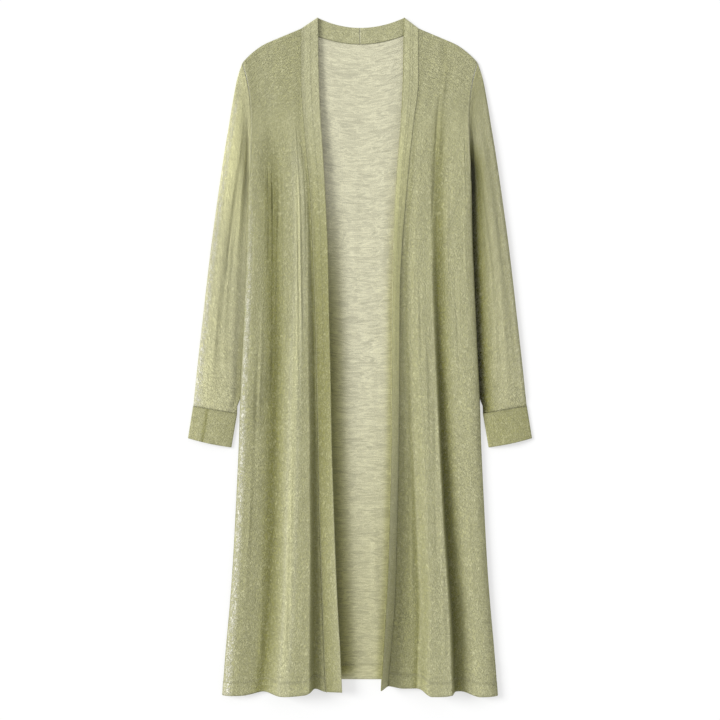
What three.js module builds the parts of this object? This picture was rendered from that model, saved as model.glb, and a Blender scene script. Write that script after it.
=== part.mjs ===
// An open-front duster cardigan of fine linen knit, laid flat on its back with the fronts up.
// Millimetres, +Z up. X runs across the garment, Y from the hem to the neck, and "up" in the
// tables is the height from the hem line towards the neck. Right and left are the wearer's, so
// the right front lies at -X. The group's origin is the middle of its underside.
import * as THREE from "three";

// Driving sizes
const clothThick = 1.0;        // one layer of knit, as a wall
const doubleThick = 1.6;       // band, cuffs and turned-up hems, which are two layers
const seamGap = 0.3;           // between pieces that are sewn edge to edge
const layerGap = 0.7;          // between the fronts and the back where they lie on each other
const armholeGap = 1.3;        // between the armhole edge and the sleeve's end
const backHemUp = 29.7;        // the back is this much shorter than the fronts
const hemDeep = 24;            // turned-up hem
const shoulderTip = { half: 193, up: 1046 };
const neckPoint = { half: 96.5, up: 1102 };
const bandTipUp = 1120;        // where the band turns over the shoulder
const neckDrop = 25.4;         // the back neck seam's dip at the centre
const bandDrop = 16.4;         // the band's free edge's dip at the centre
const shoulderSlope = 0.42;
const shoulderRound = 15;      // how far the shoulder line drops at its rounded tip
const shoulderRoundWide = 43;
const armpitUp = 853;
const sleeveFlat = 2.5;        // between the middles of the two layers of a flat sleeve
const sleevePuff = 8.5;        // how much the sleeve's top layer stands up at its crest
const puffClear = 8;           // the sleeve lies flat from this far out from the body
const tuckLift = 4.3;            // how far the body is lifted where it lies on a sleeve
const tuckMargin = 14;
const tuckRamp = 34;
const cuffEase = 4.5;          // the cuff's top layer is this much fuller at its middle

// Half width of the body at its side fold and, above the armpit, at the armhole
const sideRows = [
  { up: 0, half: 227 },
  { up: 78, half: 221 },
  { up: 160, half: 213.7 },
  { up: 226, half: 209 },
  { up: 325, half: 203.8 },
  { up: 411, half: 199.7 },
  { up: 500, half: 196.4 },
  { up: 587, half: 192.2 },
  { up: 677, half: 188.1 },
  { up: 764, half: 184.8 },
  { up: 853, half: 183.2 },
  { up: 902, half: 180.6 },
  { up: 944, half: 179.6 },
  { up: 980, half: 180.8 },
  { up: 1012, half: 184.8 },
  { up: 1046, half: 193 },
];

// How far the sleeve is tucked in under the body's side
const tuckRows = [
  { up: 480, tuck: 0 },
  { up: 515, tuck: 12 },
  { up: 590, tuck: 29 },
  { up: 655, tuck: 38 },
  { up: 715, tuck: 40 },
  { up: 765, tuck: 30 },
  { up: 815, tuck: 14 },
  { up: 850, tuck: 0 },
];

// Outer edge of the sleeve, from the shoulder tip down to the cuff seam
const sleeveEdgeRows = [
  { up: 480, half: 274.5 },
  { up: 556, half: 266.5 },
  { up: 622, half: 259 },
  { up: 688, half: 251.6 },
  { up: 754, half: 243.6 },
  { up: 820, half: 234.5 },
  { up: 899, half: 223 },
  { up: 944, half: 215.5 },
  { up: 982, half: 209.3 },
  { up: 1020, half: 202 },
  { up: 1046, half: 193.7 },
];
const cuffSeam = { outer: { half: 274.5, up: 480 }, inner: { half: 203, up: 468 } };
const cuffEnd = { outer: { half: 283, up: 427 }, inner: { half: 212.6, up: 412 } };

// Along each front: seam is where the band is sewn on, edge is the band's free edge
const rightEdges = [
  { up: 0, seam: 55.3, edge: 28.7 },
  { up: 83, seam: 59.5, edge: 32.5 },
  { up: 154, seam: 62, edge: 36.6 },
  { up: 254, seam: 65.4, edge: 40.9 },
  { up: 338, seam: 67.8, edge: 43.7 },
  { up: 424, seam: 68.8, edge: 46.3 },
  { up: 523, seam: 71, edge: 48 },
  { up: 622, seam: 73.4, edge: 50.2 },
  { up: 721, seam: 77, edge: 52.2 },
  { up: 820, seam: 81, edge: 56.4 },
  { up: 906, seam: 88.5, edge: 61.4 },
  { up: 964, seam: 93.6, edge: 65.2 },
  { up: 1020, seam: 96.6, edge: 67.7 },
  { up: 1120, seam: 96.5, edge: 69.3 },
];
const leftEdges = [
  { up: 0, seam: 43.5, edge: 33.2 },
  { up: 69, seam: 49.5, edge: 37 },
  { up: 158, seam: 57, edge: 42.2 },
  { up: 220, seam: 58.9, edge: 45.3 },
  { up: 307, seam: 61.2, edge: 48 },
  { up: 424, seam: 63.5, edge: 50.9 },
  { up: 556, seam: 64.6, edge: 52 },
  { up: 660, seam: 65.2, edge: 52.8 },
  { up: 753, seam: 69.6, edge: 54.9 },
  { up: 820, seam: 75.4, edge: 57.2 },
  { up: 888, seam: 81.5, edge: 62 },
  { up: 944, seam: 88, edge: 66.7 },
  { up: 1020, seam: 96.6, edge: 70.5 },
  { up: 1120, seam: 96.5, edge: 72.3 },
];

// Folds across each front. An "at" is a share of the way from the side to the band seam, and the
// number after it is the height there: roll by the side, gully, crest from rise to fall, dip.
const rightFolds = [
  { up: 0, rollAt: 0.1, roll: 10, gullyAt: 0.3, gully: 3, riseAt: 0.5, rise: 27,
    fallAt: 0.76, fall: 28, dipAt: 0.88, dip: 4, seam: 9, edge: 14 },
  { up: 127, rollAt: 0.1, roll: 10, gullyAt: 0.33, gully: 3, riseAt: 0.58, rise: 25,
    fallAt: 0.79, fall: 25, dipAt: 0.91, dip: 4, seam: 7, edge: 15 },
  { up: 325, rollAt: 0.1, roll: 9, gullyAt: 0.38, gully: 3, riseAt: 0.65, rise: 20,
    fallAt: 0.83, fall: 19, dipAt: 0.95, dip: 4, seam: 5, edge: 17 },
  { up: 523, rollAt: 0.1, roll: 8, gullyAt: 0.42, gully: 2.5, riseAt: 0.69, rise: 15,
    fallAt: 0.86, fall: 13, dipAt: 0.97, dip: 4, seam: 5, edge: 18 },
  { up: 754, rollAt: 0.09, roll: 6, gullyAt: 0.39, gully: 2.5, riseAt: 0.78, rise: 9.5,
    fallAt: 0.9, fall: 8.5, dipAt: 0.98, dip: 4.5, seam: 5, edge: 14 },
  { up: 870, rollAt: 0.08, roll: 4, gullyAt: 0.38, gully: 2, riseAt: 0.78, rise: 5.5,
    fallAt: 0.89, fall: 5.5, dipAt: 0.97, dip: 4, seam: 4.5, edge: 10 },
  { up: 1000, rollAt: 0.08, roll: 2, gullyAt: 0.38, gully: 1.5, riseAt: 0.72, rise: 2.4,
    fallAt: 0.84, fall: 2.4, dipAt: 0.95, dip: 2, seam: 2.5, edge: 6 },
  { up: 1120, rollAt: 0.08, roll: 1, gullyAt: 0.38, gully: 1, riseAt: 0.7, rise: 1.5,
    fallAt: 0.84, fall: 1.5, dipAt: 0.95, dip: 1.5, seam: 1.5, edge: 3 },
];
const leftFolds = [
  { up: 0, rollAt: 0.14, roll: 13, gullyAt: 0.33, gully: 3, riseAt: 0.42, rise: 27,
    fallAt: 0.63, fall: 29, dipAt: 0.76, dip: 5, seam: 4, edge: 30 },
  { up: 127, rollAt: 0.13, roll: 12, gullyAt: 0.34, gully: 3, riseAt: 0.44, rise: 25,
    fallAt: 0.62, fall: 27, dipAt: 0.77, dip: 5, seam: 4, edge: 28 },
  { up: 325, rollAt: 0.12, roll: 10, gullyAt: 0.395, gully: 3, riseAt: 0.51, rise: 18,
    fallAt: 0.66, fall: 19, dipAt: 0.83, dip: 5, seam: 4, edge: 25 },
  { up: 523, rollAt: 0.12, roll: 8, gullyAt: 0.435, gully: 3, riseAt: 0.56, rise: 13,
    fallAt: 0.72, fall: 14, dipAt: 0.9, dip: 5, seam: 4, edge: 22 },
  { up: 754, rollAt: 0.1, roll: 6, gullyAt: 0.49, gully: 3, riseAt: 0.61, rise: 8.5,
    fallAt: 0.76, fall: 9, dipAt: 0.93, dip: 5, seam: 4, edge: 17 },
  { up: 870, rollAt: 0.08, roll: 4, gullyAt: 0.53, gully: 2.5, riseAt: 0.66, rise: 5,
    fallAt: 0.78, fall: 5.5, dipAt: 0.94, dip: 4, seam: 4, edge: 12 },
  { up: 1000, rollAt: 0.08, roll: 2, gullyAt: 0.53, gully: 1.5, riseAt: 0.68, rise: 2.4,
    fallAt: 0.8, fall: 2.4, dipAt: 0.95, dip: 2, seam: 2.5, edge: 6 },
  { up: 1120, rollAt: 0.08, roll: 1, gullyAt: 0.53, gully: 1, riseAt: 0.68, rise: 1.5,
    fallAt: 0.8, fall: 1.5, dipAt: 0.95, dip: 1.5, seam: 1.5, edge: 3 },
];

// The hem line of each front, from the side (0) to the band seam (1) and the band's free edge (2)
const rightHem = [
  { at: 0, up: 4.6 },
  { at: 0.2, up: 4.7 },
  { at: 0.27, up: 6.4 },
  { at: 0.42, up: 11.3 },
  { at: 0.6, up: 7 },
  { at: 0.8, up: 9.7 },
  { at: 0.9, up: 16.7 },
  { at: 1, up: 12 },
  { at: 2, up: 11.5 },
];
const leftHem = [
  { at: 0, up: 3.8 },
  { at: 0.16, up: 3.4 },
  { at: 0.33, up: 11.2 },
  { at: 0.5, up: 7.3 },
  { at: 0.6, up: 7.5 },
  { at: 0.7, up: 16.2 },
  { at: 0.85, up: 15.6 },
  { at: 1, up: 19.4 },
  { at: 2, up: 17.4 },
];

// Folds across a sleeve's top layer, from its outer fold to its inner one, as shares of the puff
const sleeveFolds = [
  { at: 0, high: 0 },
  { at: 0.12, high: 0.6 },
  { at: 0.4, high: 1 },
  { at: 0.7, high: 0.66 },
  { at: 0.86, high: 0.5 },
  { at: 1, high: 0 },
];

// How finely each piece is divided. The fronts' columns follow their folds, so each of the six
// stretches of a front, from one point of its folds to the next, has its own shares.
const foldColumns = [
  [0, 0.13, 0.5, 1],
  [0.33, 0.67, 1],
  [0.25, 0.5, 0.75, 1],
  [0.5, 1],
  [0.25, 0.5, 0.75, 1],
  [1],
];
const frontRows = 25;
const bandColumns = 3;
const neckRows = 8;
const turnShares = [0.5, 0.13];             // shares of the turn's radius, towards the crease
const bandTurn = 5;
const backHalfColumns = [0, 0.12, 0.25, 0.38, 0.5, 0.6, 0.67, 0.73, 0.79, 0.85, 0.91, 0.96, 1];
const backRows = 20;
const sleeveRows = 17;
const sleeveShares = [0, 0.12, 0.24, 0.36, 0.52, 0.68, 0.84, 1]; // of the part beside the body
const sleeveUnder = 2;                                          // columns under the body
const cuffAcross = 8;
const cuffRows = 2;

const clamp = THREE.MathUtils.clamp;
const lerp = THREE.MathUtils.lerp;
const ease = (t) => THREE.MathUtils.smoothstep(t, 0, 1);

// A smooth value of one column of a table whose rows are sorted by the column named as key
function trace(rows, column, value, key = "up") {
  const at = clamp(value, rows[0][key], rows[rows.length - 1][key]);
  let i = 0;
  while (i < rows.length - 2 && at > rows[i + 1][key]) i += 1;
  const slopeOf = (j) => (rows[j + 1][column] - rows[j][column]) / (rows[j + 1][key] - rows[j][key]);
  const tangentOf = (j) => {
    if (j === 0) return slopeOf(0);
    if (j === rows.length - 1) return slopeOf(j - 1);
    const before = slopeOf(j - 1);
    const after = slopeOf(j);
    return before * after <= 0 ? 0 : (2 * before * after) / (before + after);
  };
  const step = rows[i + 1][key] - rows[i][key];
  const t = (at - rows[i][key]) / step;
  const rise = rows[i + 1][column] - rows[i][column];
  const start = tangentOf(i) * step;
  const end = tangentOf(i + 1) * step;
  return rows[i][column] + t * (start + t * (3 * rise - 2 * start - end + t * (start + end - 2 * rise)));
}

// A height between points [share, height], flat at each point, and rounded at the first one
function heightBetween(points, share) {
  let i = 0;
  while (i < points.length - 2 && share > points[i + 1][0]) i += 1;
  const t = clamp((share - points[i][0]) / (points[i + 1][0] - points[i][0]), 0, 1);
  const part = i === 0 ? Math.sqrt(1 - (1 - t) ** 2) : ease(t);
  return lerp(points[i][1], points[i + 1][1], part);
}

// Steps that shorten towards the shoulder, where the armhole curves
const closerUp = (t) => 1.45 * t - 0.45 * t ** 2;

const halfWidth = (up) => trace(sideRows, "half", Math.min(up, shoulderTip.up));

// How much the body is lifted by the sleeve under it, at a distance in from the side fold
function liftAt(up, inward) {
  const tucked = trace(tuckRows, "tuck", up);
  const inZone = ease((up - 425) / 45) * ease((950 - up) / 45);
  return tuckLift * inZone * ease((tucked + tuckMargin + tuckRamp - inward) / tuckRamp);
}

function shoulderLine(half) {
  const round = Math.max(0, (half - (shoulderTip.half - shoulderRoundWide)) / shoulderRoundWide);
  return neckPoint.up - shoulderSlope * (half - neckPoint.half) - shoulderRound * round ** 2;
}

// The points [share, height] of one front's folds, from the side to the band seam
function foldPoints(folds, up) {
  const at = (column) => trace(folds, column, up);
  return [
    [0, 0],
    [at("rollAt"), at("roll")],
    [at("gullyAt"), at("gully")],
    [at("riseAt"), at("rise")],
    [at("fallAt"), at("fall")],
    [at("dipAt"), at("dip")],
    [1, at("seam")],
  ];
}

// Height of a front and its band above the lying front
function frontHeight(folds, up, share) {
  if (share <= 1) return heightBetween(foldPoints(folds, up), share);
  const bend = 0.4 * Math.sin(((share - 1) * Math.PI) / 2) + 0.6 * (share - 1);
  return lerp(trace(folds, "seam", up), trace(folds, "edge", up), bend);
}

// The normal of a grid of points at one of them. closed joins the last column to the first.
function normalAt(grid, r, c, closed = false) {
  const rows = grid.length;
  const columns = grid[0].length;
  const corner = (i) => grid[r][closed ? (i + columns) % columns : clamp(i, 0, columns - 1)];
  const across = corner(c + 1).clone().sub(corner(c - 1));
  const along = grid[Math.min(r + 1, rows - 1)][c].clone().sub(grid[Math.max(r - 1, 0)][c]);
  return across.cross(along).normalize();
}

// A closed wall around a grid of points, with the thickness that thickAt gives for each row.
// normals are the grid's own where none are given.
function wallOf(grid, thickAt, closed = false, normals = null) {
  const rows = grid.length;
  const columns = grid[0].length;
  const positions = [];
  for (const side of [1, -1]) {
    for (let r = 0; r < rows; r += 1) {
      for (let c = 0; c < columns; c += 1) {
        const normal = normals ? normals[r][c] : normalAt(grid, r, c, closed);
        const p = grid[r][c].clone().addScaledVector(normal, (side * thickAt(r)) / 2);
        positions.push(p.x, p.y, p.z);
      }
    }
  }
  const faces = [];
  const inner = rows * columns;
  const index = (r, c) => r * columns + (c % columns);
  const lastColumn = closed ? columns : columns - 1;
  const quad = (a, b, c, d) => faces.push(a, b, c, a, c, d);
  for (let r = 0; r < rows - 1; r += 1) {
    for (let c = 0; c < lastColumn; c += 1) {
      const ring = [index(r, c), index(r, c + 1), index(r + 1, c + 1), index(r + 1, c)];
      quad(...ring);
      quad(...ring.reverse().map((i) => i + inner));
    }
  }
  for (let c = 0; c < lastColumn; c += 1) {
    quad(index(0, c + 1), index(0, c), index(0, c) + inner, index(0, c + 1) + inner);
    const top = rows - 1;
    quad(index(top, c), index(top, c + 1), index(top, c + 1) + inner, index(top, c) + inner);
  }
  if (!closed) {
    for (let r = 0; r < rows - 1; r += 1) {
      const end = columns - 1;
      quad(index(r, 0), index(r + 1, 0), index(r + 1, 0) + inner, index(r, 0) + inner);
      quad(index(r + 1, end), index(r, end), index(r, end) + inner, index(r + 1, end) + inner);
    }
  }
  const geometry = new THREE.BufferGeometry();
  geometry.setAttribute("position", new THREE.Float32BufferAttribute(positions, 3));
  geometry.setIndex(faces);
  geometry.computeVertexNormals();
  return geometry;
}

// The same wall whichever way its grid runs: faces are turned round if the solid is inside out
function outward(geometry) {
  const p = geometry.getAttribute("position");
  const index = geometry.getIndex().array;
  const [a, b, c] = [new THREE.Vector3(), new THREE.Vector3(), new THREE.Vector3()];
  let volume = 0;
  for (let i = 0; i < index.length; i += 3) {
    a.fromBufferAttribute(p, index[i]);
    b.fromBufferAttribute(p, index[i + 1]);
    c.fromBufferAttribute(p, index[i + 2]);
    volume += a.dot(b.cross(c));
  }
  if (volume < 0) {
    for (let i = 0; i < index.length; i += 3) [index[i + 1], index[i + 2]] = [index[i + 2], index[i + 1]];
  }
  return geometry;
}

// A point of one front with its band as a single sheet: share goes from the side fold (0) over
// the band seam (1) to the band's free edge (2), and rise from the hem (0) to the top (1)
function frontPoint({ side, edges, folds, hem }, share, rise) {
  const topHalf = lerp(shoulderTip.half, neckPoint.half, share);
  const top = share <= 1 ? shoulderLine(topHalf) : lerp(neckPoint.up, bandTipUp, share - 1);
  const up = lerp(trace(hem, "up", share, "at"), top, rise);
  const half = share <= 1
    ? lerp(halfWidth(up), trace(edges, "seam", up), share)
    : lerp(trace(edges, "seam", up), trace(edges, "edge", up), share - 1);
  const toTop = clamp((top - up) / bandTurn, 0, 1);
  const rounded = Math.sqrt(1 - (1 - toTop) ** 2);
  const lift = liftAt(up, Math.max(0, halfWidth(up) - half));
  const overHem = (doubleThick - clothThick) * 1.4 * (1 - ease((up - backHemUp - hemDeep) / 15));
  const lying = 1.5 * clothThick + layerGap + overHem;
  return new THREE.Vector3(side * half, up, lying + lift + frontHeight(folds, up, share) * rounded);
}

// The rows of a front, with the hem's depth and the turn at the shoulder marked
function frontRises() {
  const height = neckPoint.up;
  const rises = [0, hemDeep / height, (hemDeep + 1.2) / height];
  const first = rises[rises.length - 1];
  const last = 1 - bandTurn / height;
  for (let i = 1; i <= frontRows; i += 1) rises.push(lerp(first, last, closerUp(i / frontRows)));
  for (const part of turnShares) rises.push(1 - (part * bandTurn) / height);
  rises.push(1);
  return rises;
}

// The columns of a front at one row, which follow its folds, and those of its band
function frontShares(folds, rise) {
  const points = foldPoints(folds, rise * neckPoint.up);
  const stretch = (parts, i) => parts.map((part) => lerp(points[i][0], points[i + 1][0], part));
  const shares = foldColumns.flatMap(stretch);
  for (let i = 1; i <= bandColumns; i += 1) shares.push(1 + i / bandColumns);
  return shares;
}

// The band goes on round the back neck: it turns under at the shoulder and runs to the centre
function backNeckPoint(side, edges, share, across) {
  const tip = trace(edges, "edge", bandTipUp);
  const seamHalf = neckPoint.half * (1 - share);
  const edgeHalf = tip * (1 - share);
  const seamUp = neckPoint.up - neckDrop * (1 - (seamHalf / neckPoint.half) ** 2);
  const edgeUp = bandTipUp - bandDrop * (1 - (edgeHalf / tip) ** 2);
  const half = lerp(seamHalf, edgeHalf, across);
  return new THREE.Vector3(side * half, lerp(seamUp, edgeUp, across), doubleThick / 2);
}

function frontAndBand(half) {
  const { side, edges, folds } = half;
  const seamColumn = foldColumns.flat().length - 1;
  const rowAt = (rise) => frontShares(folds, rise).map((share) => frontPoint(half, share, rise));
  const sheet = frontRises().map(rowAt);
  const normals = sheet.map((row, r) => row.map((point, c) => normalAt(sheet, r, c)));
  const front = sheet.map((row) => row.slice(0, seamColumn + 1).map((point) => point.clone()));
  for (const row of front) row[seamColumn].x += side * seamGap;
  const band = bandRoundNeck(side, edges, sheet.map((row) => row.slice(seamColumn)));
  const turnRow = sheet.length - 1 - turnShares.length;
  const bandNormals = band.map((row, r) => row.map((point, c) => (
    r < turnRow ? normals[r][seamColumn + c] : normalAt(band, r, c))));
  const frontThick = (r) => (r <= 1 ? doubleThick : clothThick);
  return {
    front: outward(wallOf(front, frontThick, false, normals)),
    band: outward(wallOf(band, () => doubleThick, false, bandNormals)),
  };
}

// Adds the rows of the turn at the shoulder and of the back neck to the band's front rows
function bandRoundNeck(side, edges, frontPart) {
  const across = Array.from({ length: bandColumns + 1 }, (_, i) => i / bandColumns);
  const rows = frontPart.map((row) => row.map((point) => point.clone()));
  const frontZ = rows[rows.length - 2 - turnShares.length].map((point) => point.z);
  const halfway = frontZ.map((z) => (z + doubleThick / 2) / 2);
  const turned = (share) => Math.sqrt(1 - (1 - share) ** 2);
  [0, ...turnShares.toReversed()].forEach((share, i) => {
    rows[rows.length - 1 - i].forEach((point, c) => point.setZ(lerp(halfway[c], frontZ[c], turned(share))));
  });
  const turnEnd = bandTurn / neckPoint.half;
  for (const share of [...turnShares.toReversed(), 1]) {
    const z = (c) => lerp(halfway[c], doubleThick / 2, turned(share));
    rows.push(across.map((part, c) => backNeckPoint(side, edges, share * turnEnd, part).setZ(z(c))));
  }
  for (let i = 1; i <= neckRows; i += 1) {
    const share = lerp(turnEnd, 1, i / neckRows);
    rows.push(across.map((part) => backNeckPoint(side, edges, share, part)));
  }
  for (const point of rows[rows.length - 1]) point.x = (side * seamGap) / 2;
  return rows;
}

function backPanel() {
  const shares = [...backHalfColumns.slice(1).map((s) => -s).reverse(), ...backHalfColumns];
  const height = shoulderTip.up - backHemUp;
  const rises = [0, hemDeep / height, (hemDeep + 1.2) / height];
  const first = rises[rises.length - 1];
  for (let i = 1; i <= backRows; i += 1) rises.push(lerp(first, 1, closerUp(i / backRows)));
  const thickAt = (r) => (r <= 1 ? doubleThick : clothThick);
  const grid = rises.map((rise, r) => shares.map((share) => {
    const topHalf = Math.abs(share) * shoulderTip.half;
    const seamUp = neckPoint.up - neckDrop * (1 - (topHalf / neckPoint.half) ** 2);
    const top = (topHalf < neckPoint.half ? seamUp : shoulderLine(topHalf)) - seamGap * 3;
    const up = lerp(backHemUp, top, rise);
    const half = halfWidth(up);
    const lift = liftAt(up, half * (1 - Math.abs(share)));
    return new THREE.Vector3(share * half, up, thickAt(r) / 2 + lift);
  }));
  const upward = grid.map((row) => row.map(() => new THREE.Vector3(0, 0, 1)));
  return outward(wallOf(grid, thickAt, false, upward));
}

// A flattened tube's section: shares across its width and heights of the wall's middle, going
// under from the inner fold to the outer one and back over the top
function ringOf(shares, width, thick, highAt) {
  const radius = sleeveFlat / 2;
  const turn = radius / width;
  const low = thick / 2;
  const eighth = Math.PI / 4;
  const rounded = turn * (1 - Math.cos(eighth));
  const flat = shares.map((share) => lerp(turn, 1 - turn, share));
  const turnLow = low + radius * (1 - Math.sin(eighth));
  const turnHigh = low + radius * (1 + Math.sin(eighth));
  return [
    ...flat.toReversed().map((share) => ({ share, z: low })),
    { share: rounded, z: turnLow },
    { share: rounded, z: turnHigh },
    ...flat.map((share) => ({ share, z: low + sleeveFlat + highAt(share) })),
    { share: 1 - rounded, z: turnHigh },
    { share: 1 - rounded, z: turnLow },
  ];
}

// A place seen from above between two others
const between = (a, b, t) => ({ half: lerp(a.half, b.half, t), up: lerp(a.up, b.up, t) });

// A point of the sleeve seen from above: across goes from the outer fold to the inner one, and
// along from the armhole to the cuff seam
function sleevePlan(across, along) {
  const besideArmhole = (up) => ({ half: halfWidth(up) + armholeGap, up });
  const tip = besideArmhole(shoulderTip.up);
  const armpit = besideArmhole(armpitUp);
  const armhole = besideArmhole(lerp(tip.up, armpit.up, across));
  const cuffLine = between(cuffSeam.outer, cuffSeam.inner, across);
  const outerUp = lerp(tip.up, cuffSeam.outer.up, along);
  const outer = { half: trace(sleeveEdgeRows, "half", outerUp), up: outerUp };
  const innerUp = lerp(armpit.up, cuffSeam.inner.up, along);
  const cuffFromBody = cuffSeam.inner.half - halfWidth(cuffSeam.inner.up);
  const inner = { half: halfWidth(innerUp) + lerp(armholeGap, cuffFromBody, ease(along)), up: innerUp };
  const sides = between(outer, inner, across);
  const ends = between(armhole, cuffLine, along);
  const corners = between(between(tip, armpit, across), cuffLine, along);
  const up = sides.up + ends.up - corners.up;
  const tucked = trace(tuckRows, "tuck", up) * ease((across - 0.4) / 0.6);
  return { half: sides.half + ends.half - corners.half - tucked, up };
}

// The share across the sleeve at which it comes close to the body's side or goes under it
function besideBody(along) {
  let [clear, near] = [0, 1];
  for (let i = 0; i < 20; i += 1) {
    const middle = (clear + near) / 2;
    const at = sleevePlan(middle, along);
    if (at.half - halfWidth(at.up) > puffClear) clear = middle;
    else near = middle;
  }
  return clear;
}

function sleeve(side) {
  const points = sleeveFolds.map((row) => [row.at, row.high]);
  const grid = [];
  for (let r = 0; r <= sleeveRows; r += 1) {
    const along = r / sleeveRows;
    const a = sleevePlan(0, along);
    const b = sleevePlan(1, along);
    const width = Math.hypot(a.half - b.half, a.up - b.up);
    const full = sleevePuff * lerp(0.35, 1, ease(along / 0.2)) * lerp(1, 0.75, ease((along - 0.8) / 0.2));
    const open = clamp(besideBody(along), 0.4, 0.9);
    const highAt = (share) => (share < open ? full * heightBetween(points, share / open) : 0);
    const shares = sleeveShares.map((share) => share * open);
    for (let i = 1; i <= sleeveUnder; i += 1) shares.push(lerp(open, 1, i / sleeveUnder));
    grid.push(ringOf(shares, width, clothThick, highAt).map(({ share, z }) => {
      const at = sleevePlan(share, along);
      return new THREE.Vector3(side * at.half, at.up, z);
    }));
  }
  return outward(wallOf(grid, () => clothThick, true));
}

function cuff(side) {
  const width = Math.hypot(cuffEnd.outer.half - cuffEnd.inner.half, cuffEnd.outer.up - cuffEnd.inner.up);
  const shares = Array.from({ length: cuffAcross + 1 }, (_, i) => i / cuffAcross);
  const grid = [];
  for (let r = 0; r <= cuffRows; r += 1) {
    const along = lerp(seamGap / 50, 1, r / cuffRows);
    const ring = ringOf(shares, width, doubleThick, (share) => cuffEase * Math.sin(Math.PI * share));
    const outer = between(cuffSeam.outer, cuffEnd.outer, along);
    const inner = between(cuffSeam.inner, cuffEnd.inner, along);
    grid.push(ring.map(({ share, z }) => {
      const at = between(outer, inner, share);
      return new THREE.Vector3(side * at.half, at.up, z);
    }));
  }
  return outward(wallOf(grid, () => doubleThick, true));
}

const knit = new THREE.MeshStandardMaterial({ color: 0xb4b286, roughness: 0.9, metalness: 0 });
const knitDouble = new THREE.MeshStandardMaterial({ color: 0xa3a274, roughness: 0.9, metalness: 0 });

function piece(name, geometry, material) {
  const mesh = new THREE.Mesh(geometry, material);
  mesh.name = name;
  return mesh;
}

const cardigan = new THREE.Group();
cardigan.add(piece("back_panel", backPanel(), knit));
const halves = [
  { name: "right", side: -1, edges: rightEdges, folds: rightFolds, hem: rightHem },
  { name: "left", side: 1, edges: leftEdges, folds: leftFolds, hem: leftHem },
];
for (const half of halves) {
  const { name, side } = half;
  const { front, band } = frontAndBand(half);
  cardigan.add(piece(`front_${name}`, front, knit));
  cardigan.add(piece(`band_${name}`, band, knitDouble));
  cardigan.add(piece(`sleeve_${name}`, sleeve(side), knit));
  cardigan.add(piece(`cuff_${name}`, cuff(side), knitDouble));
}

// The origin goes to the middle of the underside
const box = new THREE.Box3().setFromObject(cardigan);
const middle = box.getCenter(new THREE.Vector3());
cardigan.position.set(-middle.x, -middle.y, -box.min.z);

export default cardigan;
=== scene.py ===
# A duster cardigan of fine linen knit, laid flat on its back with the fronts up, seen from above.
# Tables and shapes are in millimetres: x runs across, "up" from the hem line towards the neck and
# z up from the surface. Right and left are the wearer's, so the right front lies at -x.
import math

import bpy
import numpy as np
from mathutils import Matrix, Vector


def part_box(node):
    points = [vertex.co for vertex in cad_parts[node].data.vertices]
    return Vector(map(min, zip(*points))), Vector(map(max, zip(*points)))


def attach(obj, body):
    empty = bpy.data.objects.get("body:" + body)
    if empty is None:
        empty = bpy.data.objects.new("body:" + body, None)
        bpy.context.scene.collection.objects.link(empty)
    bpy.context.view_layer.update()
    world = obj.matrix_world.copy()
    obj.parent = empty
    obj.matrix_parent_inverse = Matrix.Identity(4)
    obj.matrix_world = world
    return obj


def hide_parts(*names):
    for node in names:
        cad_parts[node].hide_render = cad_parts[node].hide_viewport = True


print("loading the frame")
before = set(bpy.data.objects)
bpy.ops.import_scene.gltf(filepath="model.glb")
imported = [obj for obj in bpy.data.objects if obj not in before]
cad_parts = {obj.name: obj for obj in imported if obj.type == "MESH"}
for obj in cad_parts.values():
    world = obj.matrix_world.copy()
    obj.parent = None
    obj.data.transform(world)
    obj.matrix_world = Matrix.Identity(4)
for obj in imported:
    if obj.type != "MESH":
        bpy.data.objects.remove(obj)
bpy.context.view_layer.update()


# Shape helpers

# Columns by name from short rows of numbers
def table(names, *rows):
    columns = names.split()
    return {name: np.array([row[i] for row in rows], float) for i, name in enumerate(columns)}


def ease(t):
    t = np.clip(t, 0, 1)
    return t * t * (3 - 2 * t)


def mix(a, b, t):
    return a + (b - a) * t


def rounded(t):
    return np.sqrt(1 - (1 - np.clip(t, 0, 1)) ** 2)


def bell(distance, wide):
    return np.exp(-(distance / wide) ** 2)


# A smooth value of one column of a table whose rows are sorted by the column named as key
def trace(rows, column, value, key="up"):
    x, y = rows[key], rows[column]
    at = np.clip(value, x[0], x[-1])
    i = np.clip(np.searchsorted(x, at, side="right") - 1, 0, len(x) - 2)
    slope = np.diff(y) / np.diff(x)
    before, after = slope[:-1], slope[1:]
    total = np.where(before + after == 0, 1, before + after)
    inner = np.where(before * after > 0, 2 * before * after / total, 0)
    tangent = np.concatenate(([slope[0]], inner, [slope[-1]]))
    step = np.diff(x)[i]
    t = (at - x[i]) / step
    rise = np.diff(y)[i]
    start, end = tangent[i] * step, tangent[i + 1] * step
    return y[i] + t * (start + t * (3 * rise - 2 * start - end + t * (start + end - 2 * rise)))


# The cut and how it lies

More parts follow.
